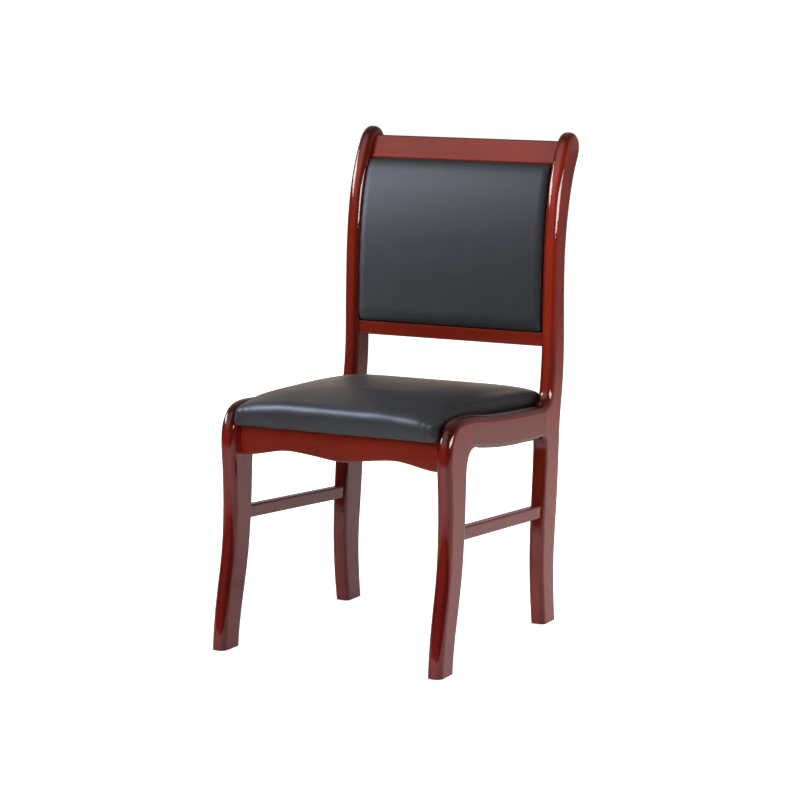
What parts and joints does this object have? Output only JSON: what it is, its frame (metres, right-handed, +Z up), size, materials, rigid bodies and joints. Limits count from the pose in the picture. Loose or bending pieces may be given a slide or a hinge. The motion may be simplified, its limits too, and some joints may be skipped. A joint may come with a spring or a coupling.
{
  "type": "upholstered conference chair",
  "caption": "Wooden office chair on fixed legs, with S-shaped lacquered side frames, side stretchers, a padded leatherette seat and a curved padded back.",
  "frame": {"origin": "on the floor, midway between the frontmost and rearmost points of the chair and midway between its sides", "axes": "+Z up, -Y the way the sitter faces; left and right in the piece names are as seen from in front of the chair, so right is +X"},
  "size_m": [0.4898, 0.6357, 0.96],
  "materials": {
    "lacquered_hardwood": "red-brown stain under glossy lacquer",
    "raw_beech": "unfinished, sawn and planed",
    "plywood": "unfinished plywood",
    "foam": "upholstery foam",
    "leatherette": "charcoal leatherette with a fine grain and a satin sheen",
    "dust_cloth": "thin black non-woven cloth",
    "zinc_steel": "zinc plated",
    "glide_plastic": "moulded nylon"
  },
  "bodies": {
    "root": {"front_leg_left": "lacquered_hardwood", "front_leg_right": "lacquered_hardwood", "rear_upright_left": "lacquered_hardwood", "rear_upright_right": "lacquered_hardwood", "side_rail_left": "lacquered_hardwood", "side_rail_right": "lacquered_hardwood", "side_stretcher_left": "lacquered_hardwood", "side_stretcher_right": "lacquered_hardwood", "front_apron": "lacquered_hardwood", "rear_seat_rail": "lacquered_hardwood", "crest_rail": "lacquered_hardwood", "lower_back_rail": "lacquered_hardwood", "corner_block_front_left": "raw_beech", "corner_block_front_right": "raw_beech", "corner_block_rear_left": "raw_beech", "corner_block_rear_right": "raw_beech", "apron_dowels": "raw_beech", "rear_rail_dowels": "raw_beech", "crest_rail_dowels": "raw_beech", "lower_rail_dowels": "raw_beech", "seat_board": "plywood", "back_board": "plywood", "seat_foam": "foam", "back_foam": "foam", "seat_cover": "leatherette", "back_cover": "leatherette", "back_rear_panel": "leatherette", "seat_dust_cover": "dust_cloth", "corner_block_screws": "zinc_steel", "seat_screws": "zinc_steel", "foot_glide_front_left": "glide_plastic", "foot_glide_front_right": "glide_plastic", "foot_glide_rear_left": "glide_plastic", "foot_glide_rear_right": "glide_plastic"}
  },
  "joints": []
}
